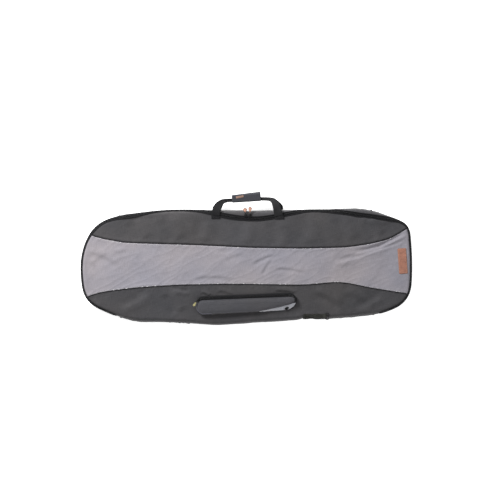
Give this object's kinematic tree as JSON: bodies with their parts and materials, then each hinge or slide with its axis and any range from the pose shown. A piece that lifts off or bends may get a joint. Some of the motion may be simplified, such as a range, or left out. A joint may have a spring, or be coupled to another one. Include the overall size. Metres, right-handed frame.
{
  "type": "snowboard bag",
  "caption": "Long padded board bag with a zip-open front, webbing carry handle with wrap grip, zipped front pocket and strap anchors.",
  "frame": {"origin": "centre of the back panel's underside, on the surface the bag lies on", "axes": "+X along the bag's length towards the end with the patch, +Y across it towards the carry handle and main zip, +Z out of the front panel"},
  "size_m": [1.466, 0.5669, 0.1281],
  "materials": {
    "dark_cloth": "woven polyester, matt dark grey",
    "light_cloth": "woven polyester, matt light grey",
    "lining_cloth": "smooth coated lining, mid grey",
    "foam": "closed-cell foam sheet",
    "zip_tape": "black woven zip tape",
    "zip_coil": "black nylon coil",
    "black_metal": "black painted die-cast metal",
    "copper_pull": "copper-coloured moulded pull",
    "gold_pull": "yellow-gold moulded pull",
    "webbing": "black nylon webbing",
    "grip_cloth": "padded slate grey cloth",
    "hook_loop": "black hook-and-loop tape",
    "label_cloth": "plain woven tab, blank",
    "patch": "plain tan leather-look patch, blank",
    "black_plastic": "black acetal"
  },
  "bodies": {
    "tub": {"back_panel": "dark_cloth", "back_foam": "foam", "back_lining": "lining_cloth", "gusset_top": "dark_cloth", "gusset_bottom": "dark_cloth", "gusset_left_end": "dark_cloth", "gusset_right_end": "dark_cloth", "gusset_zip_tape": "zip_tape", "gusset_zip_coil": "zip_coil", "front_margin": "dark_cloth", "zip_end_tab_left": "dark_cloth", "zip_end_tab_right": "dark_cloth", "back_handle_feet": "webbing", "strap_tab_left": "webbing", "strap_tab_right": "webbing"},
    "lid": {"front_upper_panel": "dark_cloth", "front_center_panel": "light_cloth", "front_lower_panel": "dark_cloth", "lid_foam": "foam", "lid_lining": "lining_cloth", "lid_zip_tape": "zip_tape", "lid_zip_coil": "zip_coil", "end_patch": "patch", "front_handle_feet": "webbing", "pocket_gusset": "light_cloth", "pocket_eyelet": "black_metal", "pocket_zip_tape_outer": "zip_tape", "pocket_zip_coil_outer": "zip_coil"},
    "slider_left_body": {"slider_left": "black_metal"},
    "slider_right_body": {"slider_right": "black_metal"},
    "pull_left": {"pull_bail_left": "black_metal", "pull_tab_left": "copper_pull"},
    "pull_right": {"pull_bail_right": "black_metal", "pull_tab_right": "copper_pull"},
    "front_handle": {"front_strap_left_leg": "webbing", "front_strap_right_leg": "webbing", "front_strap_core": "webbing", "grip_pad": "grip_cloth", "grip_hook_strip": "hook_loop"},
    "back_handle": {"back_strap_left_leg": "webbing", "back_strap_right_leg": "webbing", "back_strap_core": "webbing"},
    "grip_wrap_flap": {"grip_flap": "grip_cloth", "grip_loop_strip": "hook_loop", "grip_label": "label_cloth"},
    "pocket_flap": {"pocket_face": "dark_cloth", "pocket_zip_tape_inner": "zip_tape", "pocket_zip_coil_inner": "zip_coil"},
    "pocket_slider_body": {"pocket_slider": "black_metal"},
    "pocket_pull": {"pocket_pull_bail": "black_metal", "pocket_pull_tab": "gold_pull"},
    "ring_left": {"strap_ring_left": "black_plastic"},
    "ring_right": {"strap_ring_right": "black_plastic"}
  },
  "joints": [
    {"name": "lid_open", "type": "hinge", "parent": "tub", "child": "lid", "pos_m": [0, -0.213, 0.106], "axis": [1, 0, 0], "range_deg": [0, 105]},
    {"name": "left_slider_slide", "type": "slide", "parent": "tub", "child": "slider_left_body", "axis": [-0.9995, -0.0315, 0], "range_m": [0, 0.46]},
    {"name": "right_slider_slide", "type": "slide", "parent": "tub", "child": "slider_right_body", "axis": [0.9995, -0.0315, 0], "range_m": [0, 0.44]},
    {"name": "left_pull_swing", "type": "hinge", "parent": "slider_left_body", "child": "pull_left", "pos_m": [0.001, 0.23, 0.1105], "axis": [1, 0, 0], "range_deg": [-8, 160]},
    {"name": "right_pull_swing", "type": "hinge", "parent": "slider_right_body", "child": "pull_right", "pos_m": [0.02, 0.23, 0.1105], "axis": [1, 0, 0], "range_deg": [-8, 160]},
    {"name": "front_handle_swing", "type": "hinge", "parent": "lid", "child": "front_handle", "pos_m": [0.006, 0.235, 0.055], "axis": [1, 0, 0], "range_deg": [-30, 25], "deforming": ["front_strap_left_leg", "front_strap_right_leg"]},
    {"name": "back_handle_swing", "type": "hinge", "parent": "tub", "child": "back_handle", "pos_m": [0.006, 0.235, 0.055], "axis": [1, 0, 0], "range_deg": [-30, 25], "deforming": ["back_strap_left_leg", "back_strap_right_leg"]},
    {"name": "grip_flap_open", "type": "hinge", "parent": "front_handle", "child": "grip_wrap_flap", "pos_m": [0.006, 0.314, 0.0655], "axis": [-1, 0, 0], "range_deg": [0, 150]},
    {"name": "pocket_flap_open", "type": "hinge", "parent": "lid", "child": "pocket_flap", "pos_m": [0.001, -0.205, 0.1213], "axis": [1, 0, 0], "range_deg": [0, 70]},
    {"name": "pocket_slider_slide", "type": "slide", "parent": "pocket_flap", "child": "pocket_slider_body", "axis": [0.9997, 0.0225, 0], "range_m": [0, 0.4]},
    {"name": "pocket_pull_swing", "type": "hinge", "parent": "pocket_slider_body", "child": "pocket_pull", "pos_m": [-0.213, -0.144, 0.1262], "axis": [-0.788, 0.6157, 0], "range_deg": [0, 160]},
    {"name": "left_ring_swing", "type": "hinge", "parent": "tub", "child": "ring_left", "pos_m": [-0.34509, -0.24149, 0.02621], "axis": [0.0092, 0.2332, -0.9724], "range_deg": [-165, 0]},
    {"name": "right_ring_swing", "type": "hinge", "parent": "tub", "child": "ring_right", "pos_m": [0.345, -0.23, 0.1094], "axis": [0, 1, 0], "range_deg": [-165, 0]}
  ],
  "couplings": [
    {"joint": "left_slider_slide", "follows": "lid_open", "m_per_rad": 0.25074},
    {"joint": "right_slider_slide", "follows": "lid_open", "m_per_rad": 0.23982},
    {"joint": "back_handle_swing", "follows": "front_handle_swing", "ratio": 1},
    {"joint": "pocket_slider_slide", "follows": "pocket_flap_open", "m_per_rad": 0.327}
  ]
}
